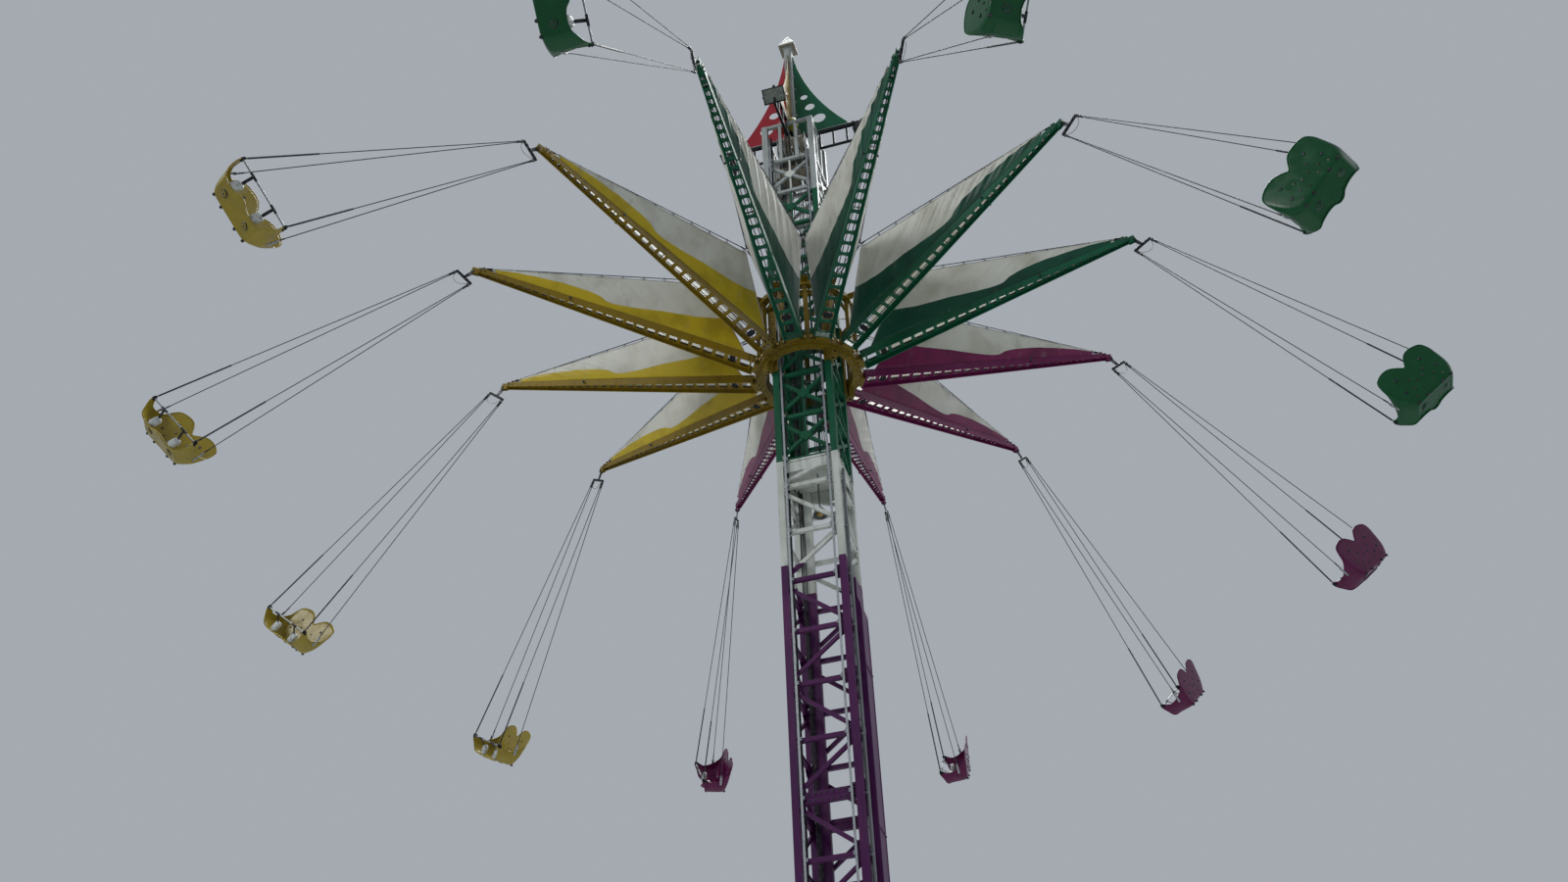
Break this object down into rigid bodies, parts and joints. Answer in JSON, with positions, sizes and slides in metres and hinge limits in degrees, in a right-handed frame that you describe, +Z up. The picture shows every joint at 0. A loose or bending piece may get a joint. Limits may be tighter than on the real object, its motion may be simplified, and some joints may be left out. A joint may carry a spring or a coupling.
{
  "type": "chair swing ride",
  "caption": "Tower swing ride: square lattice tower with a lifting carriage, turning cage, raked arms with sails, and twin bucket seats on wire ropes.",
  "frame": {"origin": "middle of the underside of the foot plate", "axes": "+Z up the tower, X and Y square to its faces, -Y the side in the picture"},
  "size_m": [20.2235, 21.0976, 29.515],
  "materials": {
    "purple_paint": "gloss paint on steel",
    "white_paint": "gloss paint on steel",
    "green_paint": "gloss paint on steel",
    "yellow_paint": "gloss paint on steel",
    "magenta_paint": "gloss paint on steel",
    "black_paint": "gloss paint on steel",
    "grey_paint": "gloss paint on steel",
    "magenta_shell": "gloss gel coat on glass fibre",
    "yellow_shell": "gloss gel coat on glass fibre",
    "green_shell": "gloss gel coat on glass fibre",
    "galvanised_steel": "dull zinc",
    "wire_rope": "laid wire",
    "sailcloth": "coated woven cloth"
  },
  "bodies": {
    "tower": {"base_frame": "grey_paint", "tower_lower": "purple_paint", "tower_middle": "white_paint", "tower_upper": "green_paint", "tower_head": "white_paint", "hoist_trunk": "purple_paint", "guide_rails": "galvanised_steel", "light_frame": "black_paint", "crown": "green_paint"},
    "carriage": {"carriage_frame": "yellow_paint"},
    "rotor": {"hub_cage": "yellow_paint", "stay_ropes": "wire_rope", "arm_01": "green_paint", "arm_02": "magenta_paint", "arm_03": "magenta_paint", "arm_04": "magenta_paint", "arm_05": "magenta_paint", "arm_06": "yellow_paint", "arm_07": "yellow_paint", "arm_08": "yellow_paint", "arm_09": "yellow_paint", "arm_10": "green_paint", "arm_11": "green_paint", "arm_12": "green_paint", "sail_01": "sailcloth", "sail_02": "sailcloth", "sail_03": "sailcloth", "sail_04": "sailcloth", "sail_05": "sailcloth", "sail_06": "sailcloth", "sail_07": "sailcloth", "sail_08": "sailcloth", "sail_09": "sailcloth", "sail_10": "sailcloth", "sail_11": "sailcloth", "sail_12": "sailcloth"},
    "swing_01": {"sling_01": "wire_rope", "seat_01": "green_shell"},
    "swing_02": {"sling_02": "wire_rope", "seat_02": "magenta_shell"},
    "swing_03": {"sling_03": "wire_rope", "seat_03": "magenta_shell"},
    "swing_04": {"sling_04": "wire_rope", "seat_04": "magenta_shell"},
    "swing_05": {"sling_05": "wire_rope", "seat_05": "magenta_shell"},
    "swing_06": {"sling_06": "wire_rope", "seat_06": "yellow_shell"},
    "swing_07": {"sling_07": "wire_rope", "seat_07": "yellow_shell"},
    "swing_08": {"sling_08": "wire_rope", "seat_08": "yellow_shell"},
    "swing_09": {"sling_09": "wire_rope", "seat_09": "yellow_shell"},
    "swing_10": {"sling_10": "wire_rope", "seat_10": "green_shell"},
    "swing_11": {"sling_11": "wire_rope", "seat_11": "green_shell"},
    "swing_12": {"sling_12": "wire_rope", "seat_12": "green_shell"}
  },
  "joints": [
    {"name": "carriage_lift", "type": "slide", "parent": "tower", "child": "carriage", "axis": [0, 0, 1], "range_m": [-14.4, 2]},
    {"name": "rotor_spin", "type": "hinge", "parent": "carriage", "child": "rotor", "pos_m": [0, 0, 20.5], "axis": [0, 0, 1], "continuous": true},
    {"name": "seat_swing_01", "type": "hinge", "parent": "rotor", "child": "swing_01", "pos_m": [5.98, 0, 21.13], "axis": [-0.0698, -0.9976, 0], "range_deg": [-37, 18]},
    {"name": "seat_swing_02", "type": "hinge", "parent": "rotor", "child": "swing_02", "pos_m": [5.17883, 2.99, 21.13], "axis": [0.4384, -0.8988, 0], "range_deg": [-41, 14]},
    {"name": "seat_swing_03", "type": "hinge", "parent": "rotor", "child": "swing_03", "pos_m": [2.99, 5.17883, 21.13], "axis": [0.829, -0.5592, 0], "range_deg": [-43, 12]},
    {"name": "seat_swing_04", "type": "hinge", "parent": "rotor", "child": "swing_04", "pos_m": [0, 5.98, 21.13], "axis": [0.9976, -0.0698, 0], "range_deg": [-44, 11]},
    {"name": "seat_swing_05", "type": "hinge", "parent": "rotor", "child": "swing_05", "pos_m": [-2.99, 5.17883, 21.13], "axis": [0.8988, 0.4384, 0], "range_deg": [-47, 8]},
    {"name": "seat_swing_06", "type": "hinge", "parent": "rotor", "child": "swing_06", "pos_m": [-5.17883, 2.99, 21.13], "axis": [0.5592, 0.829, 0], "range_deg": [-34, 21]},
    {"name": "seat_swing_07", "type": "hinge", "parent": "rotor", "child": "swing_07", "pos_m": [-5.98, 0, 21.13], "axis": [0.0698, 0.9976, 0], "range_deg": [-41, 14]},
    {"name": "seat_swing_08", "type": "hinge", "parent": "rotor", "child": "swing_08", "pos_m": [-5.17883, -2.99, 21.13], "axis": [-0.4384, 0.8988, 0], "range_deg": [-46, 9]},
    {"name": "seat_swing_09", "type": "hinge", "parent": "rotor", "child": "swing_09", "pos_m": [-2.99, -5.17883, 21.13], "axis": [-0.829, 0.5592, 0], "range_deg": [-45, 10]},
    {"name": "seat_swing_10", "type": "hinge", "parent": "rotor", "child": "swing_10", "pos_m": [0, -5.98, 21.13], "axis": [-0.9976, 0.0698, 0], "range_deg": [-46, 9]},
    {"name": "seat_swing_11", "type": "hinge", "parent": "rotor", "child": "swing_11", "pos_m": [2.99, -5.17883, 21.13], "axis": [-0.8988, -0.4384, 0], "range_deg": [-44, 11]},
    {"name": "seat_swing_12", "type": "hinge", "parent": "rotor", "child": "swing_12", "pos_m": [5.17883, -2.99, 21.13], "axis": [-0.5592, -0.829, 0], "range_deg": [-37, 18]}
  ]
}
